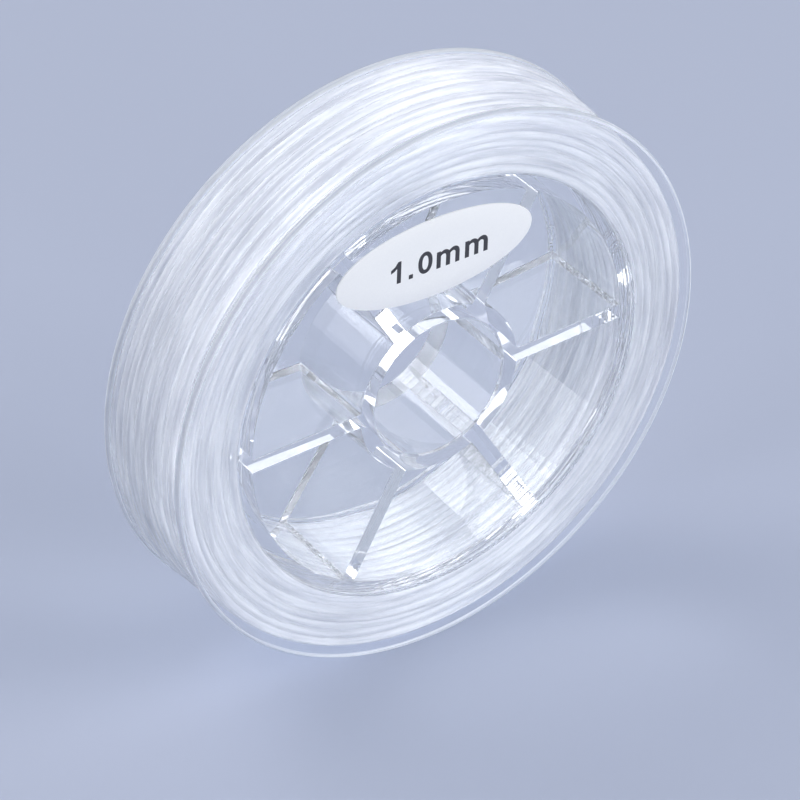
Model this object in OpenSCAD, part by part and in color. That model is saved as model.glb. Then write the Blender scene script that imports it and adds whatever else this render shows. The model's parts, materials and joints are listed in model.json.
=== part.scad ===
// Spool of clear monofilament line: a one-piece clear moulding with two flanges, a cored drum
// on six spokes, a dished rear web and a hub bore, wound with line and marked by an oval sticker.
// The spool stands on its two rims: its axle line runs along Y, the sticker faces -Y, +Z is up
// and the origin is on the floor under the middle of the spool. Millimetres.

/* [Flanges] */
// Outer diameter of both flanges
flange_d = 64; // [60:0.5:80]
// Width of the spool over the outer faces of the flanges
spool_w = 13.7; // [11:0.1:20]
// Thickness of each flange
flange_t = 1; // [0.8:0.1:1.6]
// Radius that rounds both edges of each rim
rim_round = 0.3; // [0.1:0.05:0.4]

/* [Drum] */
// Outer diameter of the drum that the line is wound on
drum_d = 48.7; // [42:0.1:52]
// Thickness of the drum wall at its mouth
drum_wall_t = 1.55; // [1:0.05:2.5]
// How far the drum, spoke and hub ends lie below the outer faces of the flanges
end_recess = 0.4; // [0.2:0.05:0.8]
// Draft of the hub's and the drum's walls inside the cored cells, in degrees
draft = 1; // [0.25:0.25:2]

/* [Hub] */
// Outer diameter of the hub tube at its front end
hub_d = 19.4; // [18:0.1:24]
// Diameter of the bore through the hub
bore_d = 15.7; // [10:0.1:16]
// Chamfer at the rear end of the bore
bore_chamfer = 0.5; // [0.2:0.1:0.8]
// Lead-in chamfer at the front end of the bore
bore_lead = 0.2; // [0.1:0.05:0.5]

/* [Spokes and web] */
// Thickness of each spoke at its front edge
spoke_t = 1.7; // [1.2:0.1:2.6]
// How far the rear face of the web lies below the rear flange's outer face
web_recess = 1; // [0.6:0.1:2]
// Thickness of the web at the hub
web_t_hub = 1.8; // [1:0.1:2.4]
// Thickness of the web at the drum wall
web_t_drum = 0.9; // [0.6:0.1:1.6]

/* [Gate mark] */
// Diameter of the round gate mark in the rear end of the drum wall
gate_d = 3.3; // [2:0.1:4]
// Depth of the gate mark below the rear end of the drum wall
gate_depth = 0.15; // [0.05:0.05:0.2]
// Angle of the gate mark, seen from the front and counted from the right-hand spoke
gate_angle = 6; // [0:1:30]

/* [Line] */
// Diameter of the line
line_d = 1; // [0.6:0.1:1.2]
// Depth of the finished winding below the rims
line_depth = 0.8; // [0.6:0.1:4]
// Least space between neighbouring turns of the outer layer
turn_space = 0.45; // [0.42:0.01:0.8]
// Space between the outer turns and each flange
side_space = 0.15; // [0.1:0.05:0.4]

/* [Sticker] */
// Length of the oval sticker
sticker_w = 23.9; // [16:0.1:24.5]
// Height of the oval sticker
sticker_h = 9.4; // [6:0.1:11]
// Thickness of the sticker
sticker_t = 0.15; // [0.1:0.01:0.25]
// Distance from the mouth of the drum to the upper edge of the level sticker
sticker_inset = 1.4; // [0.7:0.1:2]
// Shift of the sticker along its length, to the right as seen from the front
sticker_shift = -0.7; // [-1.5:0.1:1.5]
// Clockwise turn of the sticker as seen from the front, in degrees
sticker_turn = 2; // [-4:0.5:4]

/* [Hidden] */
$fn = 128;

SPOKES = 6;               // spokes round the hub
RINGS_A_TURN = 24;        // rings of the line's tube in one turn
TUBE_SIDES = 6;           // sides of the line's tube
OVAL_POINTS = 72;         // points round the sticker
CLEAR = [0.86, 0.91, 0.97, 0.35];

flange_r = flange_d / 2;
drum_r = drum_d / 2;
hub_r = hub_d / 2;
bore_r = bore_d / 2;

// Heights along the axle line, which is local Z with the front at +Z.
face_z = spool_w / 2;
inner_z = face_z - flange_t;
end_z = face_z - end_recess;
web_rear_z = web_recess - face_z;
web_hub_z = web_rear_z + web_t_hub;
web_drum_z = web_rear_z + web_t_drum;

// Radii of the cored cells: each round wall thickens by the draft from the mouth down to the
// web, and the flat spokes by half of it.
mouth_r = drum_r - drum_wall_t;
root_r = mouth_r - (end_z - web_drum_z) * tan(draft);
hub_root_r = hub_r + (end_z - web_hub_z) * tan(draft);

// The winding: its outer layer is one helix of whole turns over a plain core.
wound_r = flange_r - line_depth;
path_r = wound_r - line_d / 2;
seat_clear = 0.05;        // between the flattest part of a turn and the core
core_r = path_r * cos(180 / RINGS_A_TURN) - line_d / 2 - seat_clear;
run_w = 2 * (inner_z - side_space) - line_d;
turns = floor(run_w / (line_d + turn_space));
pitch = run_w / turns;

// The sticker's middle lies this far above the axle line.
sticker_rise = mouth_r - sticker_inset - sticker_h / 2;

// Turns the local axle line (Z) to Y and stands the spool on its rims.
module stand() {
    translate([0, 0, flange_r]) rotate([90, 0, 0]) children();
}

module flange_ring(z) {
    straight_r = flange_r - rim_round;
    rotate_extrude() union() {
        translate([drum_r, z]) square([straight_r - drum_r, flange_t]);
        translate([drum_r, z + rim_round])
            square([flange_r - drum_r, flange_t - 2 * rim_round]);
        translate([straight_r, z + rim_round]) circle(r = rim_round);
        translate([straight_r, z + flange_t - rim_round]) circle(r = rim_round);
    }
}

// The round sink left by the moulding gate, on the middle of the drum wall's rear end.
module gate_sink() {
    rotate([0, 0, gate_angle])
        translate([(drum_r + root_r) / 2, 0, -face_z - 1])
            cylinder(d = gate_d, h = 1 + end_recess + gate_depth);
}

module front_flange() {
    color(CLEAR) stand() flange_ring(inner_z);
}

module rear_flange() {
    color(CLEAR) stand() difference() {
        flange_ring(-face_z);
        gate_sink();
    }
}

module drum_wall() {
    color(CLEAR) stand() difference() {
        rotate_extrude() polygon([
            [mouth_r, end_z], [drum_r, end_z], [drum_r, -end_z],
            [root_r, -end_z], [root_r, web_drum_z]
        ]);
        gate_sink();
    }
}

module hub_tube() {
    color(CLEAR) stand() rotate_extrude() polygon([
        [bore_r + bore_lead, end_z], [hub_r, end_z], [hub_root_r, web_hub_z],
        [hub_root_r, web_rear_z], [bore_r + bore_chamfer, web_rear_z],
        [bore_r, web_rear_z + bore_chamfer], [bore_r, end_z - bore_lead]
    ]);
}

module rear_web() {
    color(CLEAR) stand() rotate_extrude() polygon([
        [hub_root_r, web_hub_z], [root_r, web_drum_z],
        [root_r, web_rear_z], [hub_root_r, web_rear_z]
    ]);
}

// The space between hub, drum wall and web, which the spokes divide into cells.
module cell_ring() {
    rotate_extrude() polygon([
        [hub_r, end_z], [mouth_r, end_z],
        [root_r, web_drum_z], [hub_root_r, web_hub_z]
    ]);
}

// A spoke is a drafted slab from the bore outwards, trimmed by the space it divides.
function spoke_half(z) = spoke_t / 2 + (end_z - z) * tan(draft / 2);

module spoke(index) {
    color(CLEAR) stand() rotate([0, 0, (index - 1) * 360 / SPOKES]) intersection() {
        rotate([90, 0, 90]) translate([0, 0, bore_r])
            linear_extrude(height = drum_r - bore_r) polygon([
                [-spoke_half(face_z), face_z], [spoke_half(face_z), face_z],
                [spoke_half(web_rear_z), web_rear_z], [-spoke_half(web_rear_z), web_rear_z]
            ]);
        cell_ring();
    }
}

module line_underlay() {
    color([0.82, 0.86, 0.93]) stand() difference() {
        translate([0, 0, -inner_z]) cylinder(r = core_r, h = 2 * inner_z);
        translate([0, 0, -inner_z - 1]) cylinder(r = drum_r, h = 2 * inner_z + 2);
    }
}

// Middle of the line at ring i of the outer layer, the way it runs there and its corner points.
// Past the helix's two ends the line runs straight on for one diameter.
LAST_RING = turns * RINGS_A_TURN;
function ring_angle(i) = min(max(i, 0), LAST_RING) * 360 / RINGS_A_TURN;
function ring_out(i) = [cos(ring_angle(i)), sin(ring_angle(i)), 0];
function line_way(i) =
    let (way = [
        -path_r * sin(ring_angle(i)),
        path_r * cos(ring_angle(i)),
        pitch / (2 * PI)
    ])
    way / norm(way);
function past_end(i) = i < 0 ? i : max(i - LAST_RING, 0);
function line_point(i) =
    path_r * ring_out(i)
        + [0, 0, pitch * ring_angle(i) / 360 - run_w / 2]
        + past_end(i) * line_d * line_way(i);
function ring_corner(i, k) =
    let (turn = 360 * k / TUBE_SIDES, side = cross(line_way(i), ring_out(i)))
    line_point(i) + line_d / 2 * (cos(turn) * ring_out(i) + sin(turn) * side);

module line_top_layer() {
    corners = [
        for (i = [-1 : LAST_RING + 1]) for (k = [0 : TUBE_SIDES - 1]) ring_corner(i, k)
    ];
    skin = [
        for (i = [0 : LAST_RING + 1]) for (k = [0 : TUBE_SIDES - 1])
            let (
                a = i * TUBE_SIDES + k,
                b = i * TUBE_SIDES + (k + 1) % TUBE_SIDES,
                c = b + TUBE_SIDES,
                d = a + TUBE_SIDES
            )
            each [[a, c, b], [a, d, c]]
    ];
    first_cap = [for (k = [1 : TUBE_SIDES - 2]) [0, k, k + 1]];
    end = (LAST_RING + 2) * TUBE_SIDES;
    last_cap = [for (k = [1 : TUBE_SIDES - 2]) [end, end + k + 1, end + k]];
    color([0.88, 0.91, 0.97]) stand()
        polyhedron(points = corners, faces = concat(skin, first_cap, last_cap));
}

// Least gap between two stretches of the outer layer that lie half a turn or more apart along
// it, measured on the rings' middles.
HALF_TURN = RINGS_A_TURN / 2;
least_gap = min([
    for (i = [-1 : LAST_RING + 1])
        for (j = [i + HALF_TURN : 1 : LAST_RING + 1])
            norm(line_point(j) - line_point(i)) - line_d
]);
echo(turns = turns, pitch = pitch, line_top_layer_least_gap_mm = least_gap);

module size_sticker() {
    oval = [
        for (i = [0 : OVAL_POINTS - 1])
            let (turn = i * 360 / OVAL_POINTS)
            [sticker_w / 2 * cos(turn), sticker_h / 2 * sin(turn)]
    ];
    color("white") stand() translate([sticker_shift, sticker_rise, end_z])
        rotate([0, 0, -sticker_turn]) linear_extrude(height = sticker_t) polygon(oval);
}

front_flange();
rear_flange();
drum_wall();
hub_tube();
rear_web();
spoke(1);  // spoke_1
spoke(2);  // spoke_2
spoke(3);  // spoke_3
spoke(4);  // spoke_4
spoke(5);  // spoke_5
spoke(6);  // spoke_6
line_underlay();
line_top_layer();
size_sticker();
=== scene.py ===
"""A clear spool of monofilament line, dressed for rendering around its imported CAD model."""

import json
import math

import bmesh
import bpy
from mathutils import Matrix, Vector


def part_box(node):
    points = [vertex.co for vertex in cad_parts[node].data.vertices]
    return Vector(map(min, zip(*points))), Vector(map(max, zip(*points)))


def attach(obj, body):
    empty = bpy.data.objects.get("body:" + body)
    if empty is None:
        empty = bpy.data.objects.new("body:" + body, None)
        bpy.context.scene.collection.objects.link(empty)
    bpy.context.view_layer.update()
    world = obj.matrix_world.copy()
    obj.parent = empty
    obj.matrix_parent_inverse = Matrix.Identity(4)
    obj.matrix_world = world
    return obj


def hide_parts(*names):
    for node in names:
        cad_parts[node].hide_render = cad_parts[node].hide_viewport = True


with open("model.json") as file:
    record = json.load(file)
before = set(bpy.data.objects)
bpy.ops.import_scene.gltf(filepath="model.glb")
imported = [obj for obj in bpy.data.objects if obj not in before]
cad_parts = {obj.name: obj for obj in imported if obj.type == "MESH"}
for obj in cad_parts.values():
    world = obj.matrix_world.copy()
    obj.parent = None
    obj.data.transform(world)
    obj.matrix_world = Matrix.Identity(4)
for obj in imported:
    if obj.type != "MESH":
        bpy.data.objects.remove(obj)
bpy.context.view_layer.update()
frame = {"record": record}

MM = 0.001
TAU = math.tau

# ---------------------------------------------------------------------------------------------
# Sizes of the moulding in millimetres, from the frame where a node's box gives them. The spool
# is built round a local axle line, Z, with its front at +Z, and is then stood on its rims.


def span(node, axis):
    low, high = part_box(node)
    return (high[axis] - low[axis]) / MM


def front_and_rear(node):
    """Heights of a node's front and rear ends along the local axle line."""
    low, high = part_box(node)
    return -low[1] / MM, -high[1] / MM


FLANGE_R = span("front_flange", 2) / 2
FACE_Z, INNER_Z = front_and_rear("front_flange")
END_Z = front_and_rear("drum_wall")[0]
DRUM_R = span("drum_wall", 0) / 2
ROOT_R = span("rear_web", 0) / 2
HUB_ROOT_R = span("hub_tube", 0) / 2
WEB_HUB_Z, WEB_REAR_Z = front_and_rear("rear_web")
WEB_T_DRUM = 0.9
WEB_DRUM_Z = WEB_REAR_Z + WEB_T_DRUM
AXLE_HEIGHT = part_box("front_flange")[0][2] / MM + FLANGE_R

CELL_DRAFT = math.radians(1)
SPOKE_DRAFT = math.radians(0.5)
MOUTH_R = ROOT_R + (END_Z - WEB_DRUM_Z) * math.tan(CELL_DRAFT)
HUB_R = HUB_ROOT_R - (END_Z - WEB_HUB_Z) * math.tan(CELL_DRAFT)
SPOKE_T = 1.7
SPOKES = 6
BORE_R = frame["record"]["mounts"][0]["dims"]["r_mm"]
BORE_LEAD = 0.2
BORE_CHAMFER = 0.5

GATE_ANGLE = math.radians(6)
GATE_R = 1.65
GATE_RISE = (DRUM_R + ROOT_R) / 2
GATE_FLOOR_Z = -END_Z + 0.15
GATE_STEPS = 48


def stand(point):
    """A local point in millimetres as a point of the row frame in metres."""
    x, y, z = point
    return Vector((x * MM, -z * MM, (AXLE_HEIGHT + y) * MM))


# ---------------------------------------------------------------------------------------------
# Mesh helpers

ROUND_STEPS = 4
SUPPORT = 0.02


def mesh_piece(name, points, faces, material):
    """A smooth closed mesh, its faces turned outwards, as an object at the origin."""
    mesh = bpy.data.meshes.new(name)
    mesh.from_pydata(points, [], faces)
    tidy = bmesh.new()
    tidy.from_mesh(mesh)
    bmesh.ops.remove_doubles(tidy, verts=tidy.verts, dist=1e-7)
    bmesh.ops.recalc_face_normals(tidy, faces=tidy.faces)
    tidy.to_mesh(mesh)
    tidy.free()
    mesh.shade_smooth()
    mesh.materials.append(material)
    piece = bpy.data.objects.new(name, mesh)
    bpy.context.scene.collection.objects.link(piece)
    return piece


def rounded_profile(corners):
    """An open profile of (r, z) points whose corners (r, z, radius) are rounded. A support point
    lies just outside each round, so that the flats beside it stay flat in the shading."""
    count = len(corners)
    points = [Vector(corners[0][:2])]
    for i in range(1, count - 1):
        here = Vector(corners[i][:2])
        to_last = (Vector(corners[i - 1][:2]) - here).normalized()
        to_next = (Vector(corners[i + 1][:2]) - here).normalized()
        radius = corners[i][2]
        if radius == 0:
            points.append(here)
            continue
        half = to_last.angle(to_next) / 2
        run = radius / math.tan(half)
        middle = here + (to_last + to_next).normalized() * radius / math.sin(half)
        start = here + to_last * run
        end = here + to_next * run
        points.append(start + to_last * SUPPORT)
        turn = (start - middle).angle_signed(end - middle)
        for k in range(ROUND_STEPS + 1):
            spoke = start - middle
            spoke.rotate(Matrix.Rotation(-turn * k / ROUND_STEPS, 2))
            points.append(middle + spoke)
        points.append(end + to_next * SUPPORT)
    points.append(Vector(corners[-1][:2]))
    return points


# ---------------------------------------------------------------------------------------------
# The clear moulding: one closed skin, built as a lathe-turned outside, a flat front end with
# six cell mouths in it, and the cells' own walls and floors.

LATHE_STEPS = 256
MOUTH_ROUND = 0.06
CORNER_ROUND = 0.12
LEAST_ROUND = 0.05
FLOOR_ROUND = 0.08
DRUM_ROUND = 0.06
CHAMFER_ROUND = 0.12
BORE_REAR_ROUND = 0.1
BORE_FRONT_ROUND = 0.08
END_RING = 0.4
BORE_RING = 0.6
SPOKE_STEPS = 10
CORNER_STEPS = 5
OUTER_STEPS = 22
INNER_STEPS = 12
RIM_STEPS = 30
RIM_RIDGES = 3
RIDGE_RISE = 0.05
RIM_RUN = 0.55
MATT_RUN = 0.45
SHARP_MOULDING = math.radians(38)

# Rows down a cell's wall as shares of its depth and lifts above that, and rows across its floor
# as shares of the way to its middle.
WALL_ROWS = ((0, 0), (0.25, 0), (0.5, 0), (0.75, 0), (1, SUPPORT), (1, 0))
FLOOR_ROWS = (0.01, 0.12, 0.25, 0.4, 0.55, 0.7, 0.85)
FLOOR_MIDDLE_SHIFT = 0.6


def rounded_rim(start, end):
    """The outside of a flange as unrounded profile corners: a full round with a few faint
    ridges left by the mould's turning."""
    half = (start - end) / 2
    middle = (start + end) / 2
    corners = []
    for k in range(1, RIM_STEPS):
        turn = math.pi * k / RIM_STEPS
        ridge = RIDGE_RISE * (1 - math.cos(TAU * RIM_RIDGES * k / RIM_STEPS)) / 2
        out = FLANGE_R - half * (1 - math.sin(turn)) - RIDGE_RISE + ridge
        corners.append((out, middle + half * math.cos(turn), 0))
    return corners


def lathe_profile():
    """From the front end's outer edge round the flanges and the rear to the bore's front end."""
    rim_root = FLANGE_R - RIM_RUN
    corners = [
        (DRUM_R - END_RING, END_Z, 0),
        (DRUM_R, END_Z, DRUM_ROUND),
        (DRUM_R, FACE_Z, DRUM_ROUND),
        (rim_root - SUPPORT, FACE_Z, 0),
        (rim_root, FACE_Z, 0),
        *rounded_rim(FACE_Z, INNER_Z),
        (rim_root, INNER_Z, 0),
        (rim_root - SUPPORT, INNER_Z, 0),
        (DRUM_R, INNER_Z, DRUM_ROUND),
        (DRUM_R, -INNER_Z, DRUM_ROUND),
        (rim_root - SUPPORT, -INNER_Z, 0),
        (rim_root, -INNER_Z, 0),
        *rounded_rim(-INNER_Z, -FACE_Z),
        (rim_root, -FACE_Z, 0),
        (rim_root - SUPPORT, -FACE_Z, 0),
        (DRUM_R, -FACE_Z, DRUM_ROUND),
        (DRUM_R, -END_Z, DRUM_ROUND),
        (ROOT_R, -END_Z, DRUM_ROUND),
        (ROOT_R, WEB_REAR_Z, DRUM_ROUND),
        (BORE_R + BORE_CHAMFER, WEB_REAR_Z, CHAMFER_ROUND),
        (BORE_R, WEB_REAR_Z + BORE_CHAMFER, BORE_REAR_ROUND),
        (BORE_R, END_Z - BORE_LEAD, BORE_FRONT_ROUND),
        (BORE_R + BORE_LEAD, END_Z, BORE_FRONT_ROUND),
        (BORE_R + BORE_RING, END_Z, 0),
    ]
    return rounded_profile(corners)


def web_height(r):
    """Height of the web's dished front at radius r."""
    share = (r - HUB_ROOT_R) / (ROOT_R - HUB_ROOT_R)
    return WEB_HUB_Z + share * (WEB_DRUM_Z - WEB_HUB_Z)


def arc(centre, radius, start, end, steps):
    return [
        Vector((
            centre[0] + radius * math.cos(start + (end - start) * k / steps),
            centre[1] + radius * math.sin(start + (end - start) * k / steps),
        ))
        for k in range(steps + 1)
    ]


def spaced(start, end, steps, gap):
    """Even steps from start to end, with a support step just inside each end."""
    run = end - start - 2 * gap
    return [start] + [start + gap + run * k / steps for k in range(steps + 1)] + [end]


def cell_outline(inset, wall_inset, spoke_inset):
    """Closed outline of the first cell, between the spokes at 0 and 60 degrees. The insets draw
    in the whole outline, its round walls and its flat walls."""
    half = SPOKE_T / 2 + spoke_inset + inset
    inner = HUB_R + wall_inset + inset
    outer = MOUTH_R - wall_inset - inset
    fillet = max(CORNER_ROUND - inset, LEAST_ROUND)
    rise = half + fillet
    outer_run = math.sqrt((outer - fillet) ** 2 - rise**2)
    inner_run = math.sqrt((inner + fillet) ** 2 - rise**2)
    outer_turn = math.atan2(rise, outer_run)
    inner_turn = math.atan2(rise, inner_run)
    right = [Vector((x, half)) for x in spaced(inner_run, outer_run, SPOKE_STEPS, SUPPORT)]
    corner_out = arc((outer_run, rise), fillet, -TAU / 4, outer_turn, CORNER_STEPS)
    corner_in = arc((inner_run, rise), fillet, math.pi + inner_turn, 1.5 * math.pi, CORNER_STEPS)
    lower = corner_in[:-1] + right + corner_out[1:]
    sector = TAU / SPOKES
    upper = []
    for point in reversed(lower):
        r, turn = point.length, math.atan2(point.y, point.x)
        upper.append(Vector((r * math.cos(sector - turn), r * math.sin(sector - turn))))
    outer_turns = spaced(outer_turn, sector - outer_turn, OUTER_STEPS, SUPPORT / outer)[1:-1]
    inner_turns = spaced(sector - inner_turn, inner_turn, INNER_STEPS, -SUPPORT / inner)[1:-1]
    outer_arc = [Vector((outer * math.cos(turn), outer * math.sin(turn))) for turn in outer_turns]
    inner_arc = [Vector((inner * math.cos(turn), inner * math.sin(turn))) for turn in inner_turns]
    return lower + outer_arc + upper + inner_arc


def cell_loops():
    """Loops of (x, y, z) points from a cell's mouth down its wall and across its floor."""
    loops = []

    def add_mouth(inset, z):
        loops.append([Vector((p.x, p.y, z)) for p in cell_outline(inset, 0, 0)])

    add_mouth(-MOUTH_ROUND - SUPPORT, END_Z)
    for k in range(ROUND_STEPS + 1):
        turn = TAU / 4 * k / ROUND_STEPS
        add_mouth(-MOUTH_ROUND * (1 - math.sin(turn)), END_Z - MOUTH_ROUND * (1 - math.cos(turn)))
    top = END_Z - MOUTH_ROUND - SUPPORT
    for share, lift in WALL_ROWS:
        depth = END_Z - top + share * (top - WEB_DRUM_Z - FLOOR_ROUND)
        wall_inset = depth * math.tan(CELL_DRAFT)
        spoke_inset = depth * math.tan(SPOKE_DRAFT)
        loop = []
        for p in cell_outline(0, wall_inset, spoke_inset):
            bottom = web_height(p.length) + FLOOR_ROUND
            loop.append(Vector((p.x, p.y, top + share * (bottom - top) + lift)))
        loops.append(loop)
    root = END_Z - WEB_DRUM_Z
    for k in range(1, ROUND_STEPS + 1):
        turn = TAU / 4 * k / ROUND_STEPS
        inset = FLOOR_ROUND * (1 - math.cos(turn))
        outline = cell_outline(inset, root * math.tan(CELL_DRAFT), root * math.tan(SPOKE_DRAFT))
        loops.append([
            Vector((p.x, p.y, web_height(p.length) + FLOOR_ROUND * (1 - math.sin(turn))))
            for p in outline
        ])
    rim = loops[-1]
    middle_r = (HUB_ROOT_R + ROOT_R) / 2 + FLOOR_MIDDLE_SHIFT
    halfway = TAU / SPOKES / 2
    middle = Vector((middle_r * math.cos(halfway), middle_r * math.sin(halfway), 0))
    for share in FLOOR_ROWS:
        loop = []
        for p in rim:
            x = p.x + (middle.x - p.x) * share
            y = p.y + (middle.y - p.y) * share
            loop.append(Vector((x, y, web_height(math.hypot(x, y)))))
        loops.append(loop)
    middle.z = web_height(middle_r)
    return loops, middle


def build_moulding(material):
    skin = bmesh.new()
    profile = lathe_profile()
    rings = []
    for k in range(LATHE_STEPS):
        cos, sin = math.cos(TAU * k / LATHE_STEPS), math.sin(TAU * k / LATHE_STEPS)
        rings.append([skin.verts.new(stand((p.x * cos, p.x * sin, p.y))) for p in profile])
    for k in range(LATHE_STEPS):
        here, there = rings[k], rings[(k + 1) % LATHE_STEPS]
        for i in range(len(profile) - 1):
            skin.faces.new((here[i], there[i], there[i + 1], here[i + 1]))
    rims = []
    for end in (0, -1):
        rims += [
            skin.edges.get((rings[k][end], rings[(k + 1) % LATHE_STEPS][end]))
            for k in range(LATHE_STEPS)
        ]
    loops, middle = cell_loops()
    for cell in range(SPOKES):
        turn = Matrix.Rotation(TAU * cell / SPOKES, 3, "Z")
        rows = [[skin.verts.new(stand(turn @ p)) for p in loop] for loop in loops]
        count = len(rows[0])
        for upper, lower in zip(rows, rows[1:]):
            for i in range(count):
                j = (i + 1) % count
                skin.faces.new((upper[i], upper[j], lower[j], lower[i]))
        centre = skin.verts.new(stand(turn @ middle))
        for i in range(count):
            skin.faces.new((rows[-1][i], rows[-1][(i + 1) % count], centre))
        rims += [skin.edges.get((rows[0][i], rows[0][(i + 1) % count])) for i in range(count)]
    bmesh.ops.triangle_fill(skin, edges=rims, use_beauty=True, use_dissolve=False)
    bmesh.ops.recalc_face_normals(skin, faces=skin.faces)
    mesh = bpy.data.meshes.new("clear_spool")
    skin.to_mesh(mesh)
    skin.free()
    mesh.shade_smooth()
    mesh.materials.append(material)
    piece = bpy.data.objects.new("clear_spool", mesh)
    bpy.context.scene.collection.objects.link(piece)
    return piece


def sink_gate_mark(piece):
    """Cuts the gate mark, a shallow round sink with faint rings in its floor, into the rear."""
    profile = [
        (0.0, GATE_FLOOR_Z - 0.12),
        (0.25, GATE_FLOOR_Z - 0.1),
        (0.45, GATE_FLOOR_Z + 0.04),
        (0.65, GATE_FLOOR_Z + 0.06),
        (0.85, GATE_FLOOR_Z - 0.06),
        (1.05, GATE_FLOOR_Z + 0.06),
        (1.25, GATE_FLOOR_Z - 0.05),
        (1.45, GATE_FLOOR_Z + 0.05),
        (GATE_R - 0.04, GATE_FLOOR_Z - 0.03),
        (GATE_R, GATE_FLOOR_Z - 0.16),
        (GATE_R + 0.02, -FACE_Z - 1),
    ]
    x = GATE_RISE * math.cos(GATE_ANGLE)
    y = GATE_RISE * math.sin(GATE_ANGLE)
    points, faces = [], []
    for k in range(GATE_STEPS):
        turn = TAU * k / GATE_STEPS
        points += [stand((x + r * math.cos(turn), y + r * math.sin(turn), z)) for r, z in profile]
    row = len(profile)
    for k in range(GATE_STEPS):
        a, b = k * row, (k + 1) % GATE_STEPS * row
        for i in range(row - 1):
            faces.append((a + i, b + i, b + i + 1, a + i + 1))
    faces.append([k * row + row - 1 for k in range(GATE_STEPS)])
    cutter = mesh_piece("gate_cutter", points, faces, piece.data.materials[0])
    cut = piece.modifiers.new("gate", "BOOLEAN")
    cut.operation = "DIFFERENCE"
    cut.solver = "EXACT"
    cut.object = cutter
    apply_modifiers(piece)
    bpy.data.objects.remove(cutter)


def dress_rims(piece, material):
    """Gives the flanges' outer edges their own matt material, whose colour carries painted light and dark
    lines.
    """
    piece.data.materials.append(material)
    least = (FLANGE_R - MATT_RUN) * MM
    for face in piece.data.polygons:
        if math.hypot(face.center.x, face.center.z - AXLE_HEIGHT * MM) > least:
            face.material_index = 1


def apply_modifiers(piece):
    """Makes the piece's finished shape its own plain mesh."""
    graph = bpy.context.evaluated_depsgraph_get()
    finished = bpy.data.meshes.new_from_object(piece.evaluated_get(graph))
    piece.modifiers.clear()
    piece.data = finished


# ---------------------------------------------------------------------------------------------
# The line: one length wound to and fro in layers, made with geometry nodes.

LINE_D = 1.0
LINE_LAYERS = 7
TURNS_A_LAYER = 11.25
POINTS_A_TURN = 96
FRONT_DIP = 0.25
SEAT_GAP = 0.02
FRONT_WOUND_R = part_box("line_top_layer")[1][0] / MM - FRONT_DIP
LAYER_RISE = (FRONT_WOUND_R - DRUM_R - LINE_D - SEAT_GAP) / (LINE_LAYERS - 1)
REAR_CROWN = 1.0
CROWN_POWER = 0.7
CLIMB_TURNS = 0.35
SEAT_SHARE = 0.51
TUBE_DIVISOR = 2.02
SWAY_RATE = 1.7
RIPPLE_RATE = 2.3
RIPPLE_START = 400

# Sockets of a Mix node set to colour, whose names repeat.
MIX_FACTOR, MIX_A, MIX_B, MIX_RESULT = 0, 6, 7, 2


class Tree:
    """A small helper for building a node tree."""

    def __init__(self, tree):
        self.tree = tree
        self.nodes = tree.nodes
        self.links = tree.links

    def add(self, kind, **settings):
        node = self.nodes.new(kind)
        for key, value in settings.items():
            setattr(node, key, value)
        return node

    def feed(self, socket, value):
        if isinstance(value, bpy.types.NodeSocket):
            self.links.new(value, socket)
        else:
            socket.default_value = value

    def math(self, operation, a, b=None, c=None):
        node = self.add("ShaderNodeMath", operation=operation)
        for socket, value in zip(node.inputs, (a, b, c)):
            if value is not None:
                self.feed(socket, value)
        return node.outputs[0]

    def noise(self, where):
        """Smooth noise along a length, about 0 to 1."""
        node = self.add("ShaderNodeTexNoise", noise_dimensions="1D")
        self.feed(node.inputs["W"], where)
        node.inputs["Scale"].default_value = 1.0
        node.inputs["Detail"].default_value = 1.0
        return node.outputs["Fac"]

    def spread(self, value, low, high, to_low=0.0, to_high=1.0):
        """A value between low and high, spread to the range from to_low to to_high."""
        node = self.add("ShaderNodeMapRange")
        self.feed(node.inputs["Value"], value)
        node.inputs["From Min"].default_value = low
        node.inputs["From Max"].default_value = high
        node.inputs["To Min"].default_value = to_low
        node.inputs["To Max"].default_value = to_high
        return node.outputs[0]

    def tone(self, share, dark, light):
        """A colour between a dark and a light one."""
        node = self.add("ShaderNodeMix", data_type="RGBA")
        self.feed(node.inputs[MIX_FACTOR], share)
        node.inputs[MIX_A].default_value = (*dark, 1)
        node.inputs[MIX_B].default_value = (*light, 1)
        return node.outputs[MIX_RESULT]

    def bump(self, height, strength, distance):
        node = self.add("ShaderNodeBump")
        node.inputs["Strength"].default_value = strength
        node.inputs["Distance"].default_value = distance
        self.feed(node.inputs["Height"], height)
        return node.outputs["Normal"]

    def surface(self, shader):
        self.feed(self.add("ShaderNodeOutputMaterial").inputs["Surface"], shader)


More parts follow.
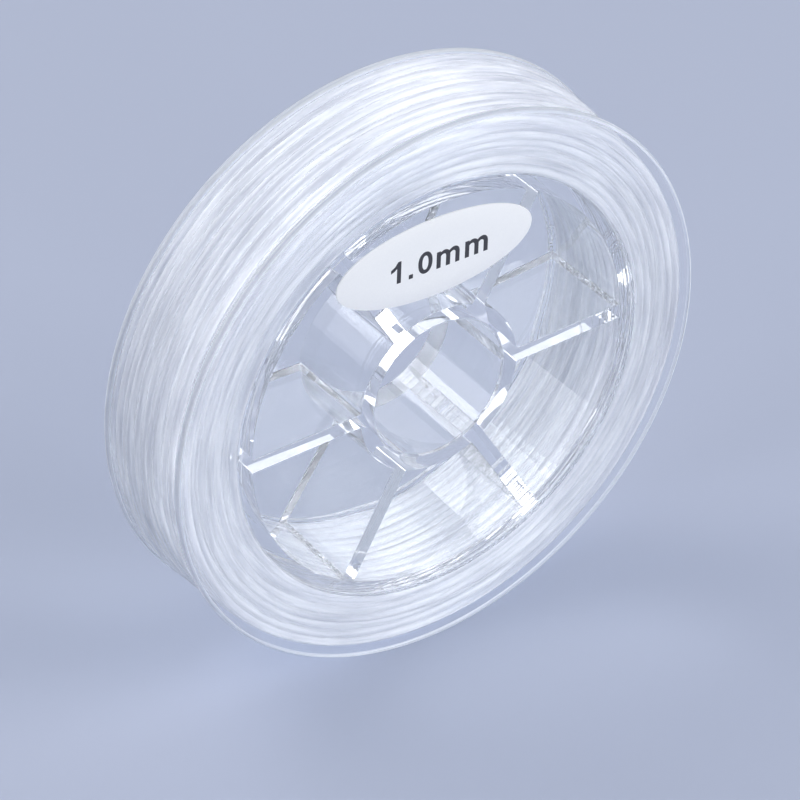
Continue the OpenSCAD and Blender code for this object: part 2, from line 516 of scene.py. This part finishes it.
def line_tree():
    """Winds a line round the axle: each layer is one pass from flange to flange."""
    group = bpy.data.node_groups.new("wind_line", "GeometryNodeTree")
    sockets = {}
    for name, kind, value in (
        ("Line Diameter", "NodeSocketFloat", LINE_D * MM),
        ("Drum Radius", "NodeSocketFloat", DRUM_R * MM),
        ("Winding Width", "NodeSocketFloat", 2 * INNER_Z * MM),
        ("Axle Height", "NodeSocketFloat", AXLE_HEIGHT * MM),
        ("Layers", "NodeSocketInt", LINE_LAYERS),
        ("Layer Rise", "NodeSocketFloat", LAYER_RISE * MM),
        ("Turns A Layer", "NodeSocketFloat", TURNS_A_LAYER),
        ("Points A Turn", "NodeSocketInt", POINTS_A_TURN),
        ("Dwell Turns", "NodeSocketFloat", 0.5),
        ("Flange Bite", "NodeSocketFloat", 0.025 * MM),
        ("Wander", "NodeSocketFloat", 0.9 * MM),
        ("Ripple", "NodeSocketFloat", 0.12 * MM),
        ("Rear Crown", "NodeSocketFloat", REAR_CROWN * MM),
        ("Sides", "NodeSocketInt", 10),
        ("Material", "NodeSocketMaterial", None),
    ):
        socket = group.interface.new_socket(name=name, in_out="INPUT", socket_type=kind)
        if value is not None:
            socket.default_value = value
        sockets[name] = socket.identifier
    group.interface.new_socket(name="Geometry", in_out="OUTPUT", socket_type="NodeSocketGeometry")
    t = Tree(group)
    given = t.add("NodeGroupInput").outputs
    m = t.math
    turns = m("MULTIPLY", given["Layers"], given["Turns A Layer"])
    steps = m("MULTIPLY", turns, given["Points A Turn"])
    line = t.add("GeometryNodeCurvePrimitiveLine")
    spread = t.add("GeometryNodeResampleCurve", mode="COUNT")
    t.feed(spread.inputs["Curve"], line.outputs["Curve"])
    t.feed(spread.inputs["Count"], m("ADD", steps, 1))
    wound = m("DIVIDE", t.add("GeometryNodeInputIndex").outputs[0], given["Points A Turn"])
    passes = m("DIVIDE", wound, given["Turns A Layer"])
    layer = m("FLOOR", passes)
    within = m("SUBTRACT", passes, layer)
    climb_share = m("DIVIDE", CLIMB_TURNS, given["Turns A Layer"])
    climb = t.add("ShaderNodeMapRange", interpolation_type="SMOOTHSTEP")
    t.feed(climb.inputs["Value"], within)
    t.feed(climb.inputs["From Min"], m("SUBTRACT", 1, climb_share))
    top_level = m("SUBTRACT", given["Layers"], 1)
    climbed = m("MULTIPLY", climb.outputs[0], m("LESS_THAN", layer, top_level))
    level = m("MINIMUM", m("ADD", layer, climbed), top_level)
    turn = m("MULTIPLY", wound, TAU)
    # Across the drum: to and fro with each pass, with a dwell against each flange, and drawn a
    # little off course by a slow wander.
    tube_r = m("DIVIDE", given["Line Diameter"], TUBE_DIVISOR)
    half_width = m("DIVIDE", given["Winding Width"], 2)
    reach = m("SUBTRACT", m("ADD", half_width, given["Flange Bite"]), tube_r)
    dwell = m("DIVIDE", m("MULTIPLY", given["Dwell Turns"], 2), given["Turns A Layer"])
    eager = m("DIVIDE", 1, m("SUBTRACT", 1, dwell))
    to_and_fro = m("SUBTRACT", 1, m("MULTIPLY", m("PINGPONG", passes, 1), 2))
    across = m("MAXIMUM", m("MINIMUM", m("MULTIPLY", to_and_fro, eager), 1), -1)
    room = m("SUBTRACT", 1, m("POWER", m("ABSOLUTE", across), 2))
    sway = m("SUBTRACT", t.noise(m("MULTIPLY", wound, SWAY_RATE)), 0.5)
    drift = m("MULTIPLY", m("MULTIPLY", sway, room), m("MULTIPLY", given["Wander"], 2))
    z = m("ADD", m("MULTIPLY", across, reach), drift)
    # Outwards: one rise a layer, a little ripple, and a crown where the line piles up at the rear.
    seat = m("ADD", given["Drum Radius"], m("MULTIPLY", given["Line Diameter"], SEAT_SHARE))
    rippled = t.noise(m("ADD", m("MULTIPLY", wound, RIPPLE_RATE), RIPPLE_START))
    ripple = m("MULTIPLY", rippled, given["Ripple"])
    rear = m("POWER", m("DIVIDE", m("SUBTRACT", 1, across), 2), CROWN_POWER)
    piled = m("MULTIPLY", rear, m("DIVIDE", level, top_level))
    crown = m("MULTIPLY", piled, given["Rear Crown"])
    risen = m("SUBTRACT", m("MULTIPLY", given["Layer Rise"], level), ripple)
    radius = m("ADD", seat, m("ADD", risen, crown))
    rise = m("MULTIPLY", radius, m("SINE", turn))
    place = t.add("ShaderNodeCombineXYZ")
    t.feed(place.inputs["X"], m("MULTIPLY", radius, m("COSINE", turn)))
    t.feed(place.inputs["Y"], m("MULTIPLY", z, -1))
    t.feed(place.inputs["Z"], m("ADD", rise, given["Axle Height"]))
    moved = t.add("GeometryNodeSetPosition")
    t.feed(moved.inputs["Geometry"], spread.outputs["Curve"])
    t.feed(moved.inputs["Position"], place.outputs[0])
    section = t.add("GeometryNodeCurvePrimitiveCircle")
    t.feed(section.inputs["Resolution"], given["Sides"])
    t.feed(section.inputs["Radius"], tube_r)
    tube = t.add("GeometryNodeCurveToMesh")
    t.feed(tube.inputs["Curve"], moved.outputs["Geometry"])
    t.feed(tube.inputs["Profile Curve"], section.outputs["Curve"])
    tube.inputs["Fill Caps"].default_value = True
    smooth = t.add("GeometryNodeSetShadeSmooth")
    t.feed(smooth.inputs["Geometry"], tube.outputs["Mesh"])
    real = t.add("GeometryNodeRealizeInstances")
    t.feed(real.inputs["Geometry"], smooth.outputs["Geometry"])
    dressed = t.add("GeometryNodeSetMaterial")
    t.feed(dressed.inputs["Geometry"], real.outputs["Geometry"])
    t.feed(dressed.inputs["Material"], given["Material"])
    t.feed(t.add("NodeGroupOutput").inputs["Geometry"], dressed.outputs["Geometry"])
    return group, sockets


def build_line(material):
    group, sockets = line_tree()
    piece = bpy.data.objects.new("wound_line", bpy.data.meshes.new("wound_line"))
    bpy.context.scene.collection.objects.link(piece)
    winder = piece.modifiers.new("wind", "NODES")
    winder.node_group = group
    winder[sockets["Material"]] = material
    apply_modifiers(piece)
    return piece


# ---------------------------------------------------------------------------------------------
# The sticker and its size figure

STICKER_LOW, STICKER_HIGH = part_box("size_sticker")
STICKER_X = (STICKER_LOW[0] + STICKER_HIGH[0]) / 2 / MM
STICKER_Y = (STICKER_LOW[2] + STICKER_HIGH[2]) / 2 / MM - AXLE_HEIGHT
STICKER_TURN = math.radians(2)
STICKER_BACK_Z = -STICKER_HIGH[1] / MM
STICKER_FRONT_Z = -STICKER_LOW[1] / MM
FIGURE_LIFT = 0.012
FIGURE_FOOT = -1.55
DIGIT_H = 2.6
SMALL_H = 2.0
STROKE = 0.5
LETTER_WEIGHT = 0.018
OVAL_STEPS = 144
SHARP_LABEL = math.radians(40)


def sticker_axes():
    """Half the length and half the height of the oval, which stands turned in its box."""
    wide = span("size_sticker", 0) / 2
    high = span("size_sticker", 2) / 2
    cos2 = math.cos(STICKER_TURN) ** 2
    sin2 = math.sin(STICKER_TURN) ** 2
    long_half = math.sqrt((wide**2 * cos2 - high**2 * sin2) / (cos2 - sin2))
    short_half = math.sqrt((high**2 * cos2 - wide**2 * sin2) / (cos2 - sin2))
    return long_half, short_half


def on_sticker(x, y, z):
    """A point given along and across the sticker, from its middle, turned as the sticker is."""
    cos, sin = math.cos(STICKER_TURN), math.sin(STICKER_TURN)
    return stand((STICKER_X + x * cos + y * sin, STICKER_Y - x * sin + y * cos, z))


def build_sticker(material):
    """An oval of label stock with a soft cut edge."""
    rows = [
        (0.0, STICKER_BACK_Z),
        (0.6, STICKER_BACK_Z),
        (0.995, STICKER_BACK_Z),
        (1.0, STICKER_BACK_Z + 0.03),
        (1.0, STICKER_FRONT_Z - 0.04),
        (0.998, STICKER_FRONT_Z - 0.01),
        (0.994, STICKER_FRONT_Z),
        (0.6, STICKER_FRONT_Z),
        (0.0, STICKER_FRONT_Z),
    ]
    long_half, short_half = sticker_axes()
    points, faces = [], []
    for share, z in rows:
        for k in range(OVAL_STEPS):
            turn = TAU * k / OVAL_STEPS
            x = share * long_half * math.cos(turn)
            y = share * short_half * math.sin(turn)
            points.append(on_sticker(x, y, z))
    for i in range(len(rows) - 1):
        for k in range(OVAL_STEPS):
            a, b = i * OVAL_STEPS + k, i * OVAL_STEPS + (k + 1) % OVAL_STEPS
            faces.append((a, b, b + OVAL_STEPS, a + OVAL_STEPS))
    piece = mesh_piece("label_oval", points, faces, material)
    piece.data.set_sharp_from_angle(angle=SHARP_LABEL)
    return piece


def flat_shape(data):
    """The mesh of a piece of text or of a flat curve."""
    data.extrude = 1
    holder = bpy.data.objects.new("flat_shape", data)
    bpy.context.scene.collection.objects.link(holder)
    bpy.context.view_layer.update()
    graph = bpy.context.evaluated_depsgraph_get()
    mesh = bpy.data.meshes.new_from_object(holder.evaluated_get(graph))
    bpy.data.objects.remove(holder)
    return mesh


def letter(character):
    words = bpy.data.curves.new("letter", "FONT")
    words.body = character
    words.offset = LETTER_WEIGHT
    return flat_shape(words)


def cut_shape(corners):
    outline = bpy.data.curves.new("cut_shape", "CURVE")
    outline.dimensions = "2D"
    outline.fill_mode = "BOTH"
    spline = outline.splines.new("POLY")
    spline.points.add(len(corners) - 1)
    for point, (x, y) in zip(spline.points, corners):
        point.co = (x, y, 0, 1)
    spline.use_cyclic_u = True
    return flat_shape(outline)


def build_figure(material):
    """The size figure printed on the sticker. Each glyph is fitted between its left and right
    ends and to its height, and all of them stand on one foot line."""
    one = cut_shape([
        (0.74, 0), (1.23, 0), (1.23, DIGIT_H), (0.85, DIGIT_H),
        (0.50, 2.12), (0, 1.82), (0, 1.42), (0.40, 1.58), (0.74, 1.84),
    ])
    dot = cut_shape([(0, 0), (STROKE, 0), (STROKE, STROKE), (0, STROKE)])
    glyphs = [
        (one, -5.36, -4.13, DIGIT_H),
        (dot, -3.16, -2.66, STROKE),
        (letter("0"), -2.04, -0.31, DIGIT_H),
        (letter("m"), 0.21, 3.02, SMALL_H),
        (letter("m"), 3.69, 6.49, SMALL_H),
    ]
    printed = bmesh.new()
    for shape, left, right, height in glyphs:
        xs = [v.co.x for v in shape.vertices]
        ys = [v.co.y for v in shape.vertices]
        for v in shape.vertices:
            x = left + (v.co.x - min(xs)) / (max(xs) - min(xs)) * (right - left)
            y = FIGURE_FOOT + (v.co.y - min(ys)) / (max(ys) - min(ys)) * height
            v.co = on_sticker(x, y, STICKER_FRONT_Z + math.copysign(FIGURE_LIFT, v.co.z))
        printed.from_mesh(shape)
    bmesh.ops.remove_doubles(printed, verts=printed.verts, dist=1e-7)
    bmesh.ops.recalc_face_normals(printed, faces=printed.faces)
    mesh = bpy.data.meshes.new("label_figure")
    printed.to_mesh(mesh)
    printed.free()
    mesh.materials.append(material)
    piece = bpy.data.objects.new("label_figure", mesh)
    bpy.context.scene.collection.objects.link(piece)
    return piece


# ---------------------------------------------------------------------------------------------
# Materials


def new_material(name):
    material = bpy.data.materials.new(name)
    material.use_nodes = True
    material.node_tree.nodes.clear()
    return material, Tree(material.node_tree)


def effect_group(name, inputs, outputs):
    group = bpy.data.node_groups.new(name, "ShaderNodeTree")
    for key, kind, value in inputs:
        socket = group.interface.new_socket(name=key, in_out="INPUT", socket_type=kind)
        if value is not None:
            socket.default_value = value
    for key, kind in outputs:
        group.interface.new_socket(name=key, in_out="OUTPUT", socket_type=kind)
    t = Tree(group)
    return group, t, t.add("NodeGroupInput").outputs, t.add("NodeGroupOutput").inputs


def soft_waves_group():
    """A slow waviness and a finer one, as a height that a Bump node can read."""
    group, t, given, out = effect_group(
        "soft_waves",
        [
            ("Slow Scale", "NodeSocketFloat", 120.0),
            ("Fine Scale", "NodeSocketFloat", 900.0),
            ("Fine Share", "NodeSocketFloat", 0.2),
        ],
        [("Height", "NodeSocketFloat"), ("Mask", "NodeSocketFloat")],
    )
    where = t.add("ShaderNodeTexCoord").outputs["Object"]
    slow = t.add("ShaderNodeTexNoise", noise_dimensions="3D")
    t.feed(slow.inputs["Vector"], where)
    t.feed(slow.inputs["Scale"], given["Slow Scale"])
    slow.inputs["Detail"].default_value = 1.0
    fine = t.add("ShaderNodeTexNoise", noise_dimensions="3D")
    t.feed(fine.inputs["Vector"], where)
    t.feed(fine.inputs["Scale"], given["Fine Scale"])
    fine.inputs["Detail"].default_value = 2.0
    faint = t.math("MULTIPLY", fine.outputs["Fac"], given["Fine Share"])
    t.feed(out["Height"], t.math("ADD", slow.outputs["Fac"], faint))
    t.feed(out["Mask"], fine.outputs["Fac"])
    return group


def line_streaks_group():
    """Fine streaks that run round the axle line, as those along the turns of a winding do. Fed to a Bump
    node they are real relief; fed to a colour they are painted light and dark lines that stand in for
    highlights and shade.
    """
    group, t, given, out = effect_group(
        "line_streaks",
        [
            ("Across Scale", "NodeSocketFloat", 3000.0),
            ("Around Scale", "NodeSocketFloat", 5.0),
            ("Axle Height", "NodeSocketFloat", AXLE_HEIGHT * MM),
        ],
        [("Height", "NodeSocketFloat")],
    )
    where = t.add("ShaderNodeSeparateXYZ")
    t.feed(where.inputs[0], t.add("ShaderNodeTexCoord").outputs["Object"])
    rise = t.math("SUBTRACT", where.outputs["Z"], given["Axle Height"])
    squares = t.math("ADD", t.math("POWER", where.outputs["X"], 2), t.math("POWER", rise, 2))
    radius = t.math("SQRT", squares)
    around = t.math("DIVIDE", given["Around Scale"], radius)
    place = t.add("ShaderNodeCombineXYZ")
    t.feed(place.inputs["X"], t.math("MULTIPLY", radius, given["Across Scale"]))
    t.feed(place.inputs["Y"], t.math("MULTIPLY", where.outputs["Y"], given["Across Scale"]))
    t.feed(place.inputs["Z"], t.math("MULTIPLY", where.outputs["X"], around))
    streak = t.add("ShaderNodeTexNoise", noise_dimensions="4D")
    t.feed(streak.inputs["Vector"], place.outputs[0])
    t.feed(streak.inputs["W"], t.math("MULTIPLY", rise, around))
    streak.inputs["Scale"].default_value = 1.0
    streak.inputs["Detail"].default_value = 3.0
    streak.inputs["Roughness"].default_value = 0.6
    t.feed(out["Height"], streak.outputs["Fac"])
    return group


def place_group(t, group, **values):
    node = t.add("ShaderNodeGroup", node_tree=group)
    for key, value in values.items():
        node.inputs[key.replace("_", " ")].default_value = value
    return node


def lamp_through(t, shader, tint, rays):
    """Lets light on its way to or from a dull surface pass straight through clear plastic, so
    that its shadow stays light and even."""
    clear = t.add("ShaderNodeBsdfTransparent")
    clear.inputs["Color"].default_value = (*tint, 1)
    path = t.add("ShaderNodeLightPath").outputs
    for ray in rays:
        mix = t.add("ShaderNodeMixShader")
        t.feed(mix.inputs["Fac"], path[ray])
        t.feed(mix.inputs[1], shader)
        t.feed(mix.inputs[2], clear.outputs[0])
        shader = mix.outputs[0]
    return shader


def clear_plastic(waves):
    material, t = new_material("clear_moulding")
    plastic = t.add("ShaderNodeBsdfPrincipled")
    plastic.inputs["Base Color"].default_value = (0.98, 0.988, 1.0, 1.0)
    plastic.inputs["Transmission Weight"].default_value = 0.96
    plastic.inputs["IOR"].default_value = 1.5
    marks = place_group(t, waves, Slow_Scale=140.0, Fine_Scale=1400.0, Fine_Share=0.05)
    t.feed(plastic.inputs["Roughness"], t.spread(marks.outputs["Mask"], 0.35, 0.75, 0.0, 0.02))
    t.feed(plastic.inputs["Normal"], t.bump(marks.outputs["Height"], 0.02, 0.0002))
    rays = ("Is Shadow Ray", "Is Diffuse Ray")
    t.surface(lamp_through(t, plastic.outputs[0], (0.96, 0.965, 0.97), rays))
    return material


def matt_rim(streaks):
    """The flanges' outer edges, left matt and finely lined in relief. The light and dark lines in their
    colour are painted highlights and shade that stand in for the shading of those lines.
    """
    material, t = new_material("matt_rim")
    plastic = t.add("ShaderNodeBsdfPrincipled")
    plastic.inputs["Transmission Weight"].default_value = 0.4
    plastic.inputs["IOR"].default_value = 1.5
    plastic.inputs["Roughness"].default_value = 0.3
    height = place_group(t, streaks, Across_Scale=5000.0, Around_Scale=1.0).outputs["Height"]
    # Painted highlights and shade: the streaked tone draws light and dark lines round the rim.
    tone = t.tone(t.spread(height, 0.35, 0.6), (0.7, 0.74, 0.84), (0.94, 0.965, 1.0))
    t.feed(plastic.inputs["Base Color"], tone)
    t.feed(plastic.inputs["Normal"], t.bump(height, 0.5, 0.00005))
    rays = ("Is Shadow Ray", "Is Diffuse Ray")
    t.surface(lamp_through(t, plastic.outputs[0], (0.9, 0.905, 0.91), rays))
    return material


def milky_line(streaks):
    """Nylon line. Only its shadow is lightened: seen from its own inside it has to stay solid. Its colour
    varies in fine streaks along the turns, partly a tone that differs at random and partly painted
    highlights and shade: light and dark lines standing in for those along clear strands.
    """
    material, t = new_material("nylon_line")
    nylon = t.add("ShaderNodeBsdfPrincipled")
    nylon.inputs["Transmission Weight"].default_value = 0.7
    nylon.inputs["IOR"].default_value = 1.45
    height = place_group(t, streaks, Across_Scale=2200.0, Around_Scale=3.0).outputs["Height"]
    # Painted highlights and shade: the light and dark streaks in the line's colour stand in for the lines
    # that light makes along clear strands.
    tone = t.tone(t.spread(height, 0.38, 0.6), (0.7, 0.71, 0.755), (0.98, 0.985, 1.0))
    t.feed(nylon.inputs["Base Color"], tone)
    t.feed(nylon.inputs["Roughness"], t.spread(height, 0.0, 1.0, 0.03, 0.15))
    t.feed(nylon.inputs["Normal"], t.bump(height, 0.6, 0.00006))
    rays = ("Is Shadow Ray",)
    t.surface(lamp_through(t, nylon.outputs[0], (0.93, 0.935, 0.94), rays))
    return material


def label_stock(waves):
    material, t = new_material("label_stock")
    paper = t.add("ShaderNodeBsdfPrincipled")
    paper.inputs["Roughness"].default_value = 0.45
    marks = place_group(t, waves, Slow_Scale=300.0, Fine_Scale=6000.0, Fine_Share=0.6)
    tone = t.tone(marks.outputs["Mask"], (0.88, 0.88, 0.88), (0.94, 0.94, 0.93))
    t.feed(paper.inputs["Base Color"], tone)
    t.feed(paper.inputs["Normal"], t.bump(marks.outputs["Height"], 0.1, 0.00005))
    t.surface(paper.outputs[0])
    return material


def print_ink(waves):
    material, t = new_material("print_ink")
    ink = t.add("ShaderNodeBsdfPrincipled")
    ink.inputs["Roughness"].default_value = 0.5
    marks = place_group(t, waves, Slow_Scale=300.0, Fine_Scale=5000.0, Fine_Share=0.6)
    tone = t.tone(marks.outputs["Mask"], (0.02, 0.02, 0.025), (0.06, 0.06, 0.07))
    t.feed(ink.inputs["Base Color"], tone)
    t.surface(ink.outputs[0])
    return material


def table_top():
    material, t = new_material("table_top")
    surface = t.add("ShaderNodeBsdfPrincipled")
    surface.inputs["Base Color"].default_value = (0.492, 0.533, 0.665, 1.0)
    surface.inputs["Roughness"].default_value = 0.7
    surface.inputs["Specular IOR Level"].default_value = 0.2
    t.surface(surface.outputs[0])
    return material


# ---------------------------------------------------------------------------------------------
# The stage: a pale table, soft lamps and the camera


TABLE_HALF = 3.0


def build_table():
    corners = [(-TABLE_HALF, -TABLE_HALF), (TABLE_HALF, -TABLE_HALF)]
    corners += [(TABLE_HALF, TABLE_HALF), (-TABLE_HALF, TABLE_HALF)]
    mesh = bpy.data.meshes.new("table")
    mesh.from_pydata([(x, y, 0) for x, y in corners], [], [(0, 1, 2, 3)])
    mesh.materials.append(table_top())
    table = bpy.data.objects.new("table", mesh)
    bpy.context.scene.collection.objects.link(table)


LAMP_COLOUR = (0.97, 0.985, 1.0)
# Each soft lamp by its name, place, size and power. All of them face the middle of the spool.
LAMPS = (
    ("key", (-0.25, 0.62, 0.75), 0.6, 3.7),
    ("back_left", (-0.6, 0.6, 0.4), 0.5, 1.1),
    ("left", (-0.85, 0.0, 0.5), 0.5, 2.35),
    ("fill", (0.55, -0.6, 0.6), 0.6, 5.4),
    ("front", (0.1, -0.95, 0.25), 0.4, 3.0),
    ("back_right", (0.55, 0.65, 0.5), 0.7, 1.0),
)


def add_lamp(name, place, size, power):
    data = bpy.data.lights.new(name, "AREA")
    data.shape = "SQUARE"
    data.size = size
    data.energy = power
    data.color = LAMP_COLOUR
    lamp = bpy.data.objects.new(name, data)
    lamp.location = place
    middle = Vector((0, 0, AXLE_HEIGHT * MM))
    lamp.rotation_euler = (middle - Vector(place)).to_track_quat("-Z", "Y").to_euler()
    bpy.context.scene.collection.objects.link(lamp)


# The sky adds little light of its own, but looks as pale as the table where it is seen itself,
# in the clear plastic or past the table's edge.
SKY_COLOUR = (0.73, 0.81, 1.0, 1.0)
LIT_SKY = 0.14
SEEN_SKY = 0.64


def light_the_scene():
    world = bpy.data.worlds.new("studio")
    world.use_nodes = True
    t = Tree(world.node_tree)
    sky = t.nodes["Background"]
    sky.inputs["Color"].default_value = SKY_COLOUR
    path = t.add("ShaderNodeLightPath").outputs
    mirrored = t.math("MAXIMUM", path["Is Glossy Ray"], path["Is Transmission Ray"])
    seen = t.math("MAXIMUM", path["Is Camera Ray"], mirrored)
    t.feed(sky.inputs["Strength"], t.math("MULTIPLY_ADD", seen, SEEN_SKY - LIT_SKY, LIT_SKY))
    bpy.context.scene.world = world
    for lamp in LAMPS:
        add_lamp(*lamp)


# Where the camera stands, in flange radii from the middle of the spool, and its axes.
CAMERA_PLACE = (-8.816, -12.497, 11.444)
CAMERA_RIGHT = Vector((0.81744, -0.57601, 0.0))
CAMERA_FORWARD = Vector((0.45867, 0.65092, -0.60492))
CAMERA_LENS = 270


def place_camera():
    data = bpy.data.cameras.new("camera")
    data.lens = CAMERA_LENS
    data.sensor_width = 36
    data.clip_start = 0.01
    data.clip_end = 20
    camera = bpy.data.objects.new("camera", data)
    r = FLANGE_R * MM
    x, y, z = CAMERA_PLACE
    camera.location = (x * r, y * r, z * r + AXLE_HEIGHT * MM)
    right = CAMERA_RIGHT.normalized()
    forward = CAMERA_FORWARD.normalized()
    up = right.cross(forward)
    camera.rotation_euler = Matrix((right, up, -forward)).transposed().to_euler()
    bpy.context.scene.collection.objects.link(camera)
    bpy.context.scene.camera = camera


# ---------------------------------------------------------------------------------------------
# Putting it together

BOUNCES = 128
CLEAR_BOUNCES = 24

waves = soft_waves_group()
spool = build_moulding(clear_plastic(waves))
sink_gate_mark(spool)
spool.data.set_sharp_from_angle(angle=SHARP_MOULDING)
streaks = line_streaks_group()
dress_rims(spool, matt_rim(streaks))
line = build_line(milky_line(streaks))
sticker = build_sticker(label_stock(waves))
figure = build_figure(print_ink(waves))

MOULDING_NODES = ["front_flange", "rear_flange", "drum_wall", "hub_tube", "rear_web"]
MOULDING_NODES += [f"spoke_{k + 1}" for k in range(SPOKES)]
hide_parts(*MOULDING_NODES)
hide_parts("line_underlay", "line_top_layer")
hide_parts("size_sticker")
for piece, slot in ((spool, "clear_moulding"), (line, "line"), (sticker, "sticker"), (figure, "sticker")):
    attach(piece, "root")

build_table()
light_the_scene()
place_camera()
bpy.context.scene.view_settings.view_transform = "Standard"
bpy.context.scene.cycles.max_bounces = BOUNCES
bpy.context.scene.cycles.transmission_bounces = BOUNCES
bpy.context.scene.cycles.glossy_bounces = BOUNCES
bpy.context.scene.cycles.transparent_max_bounces = CLEAR_BOUNCES
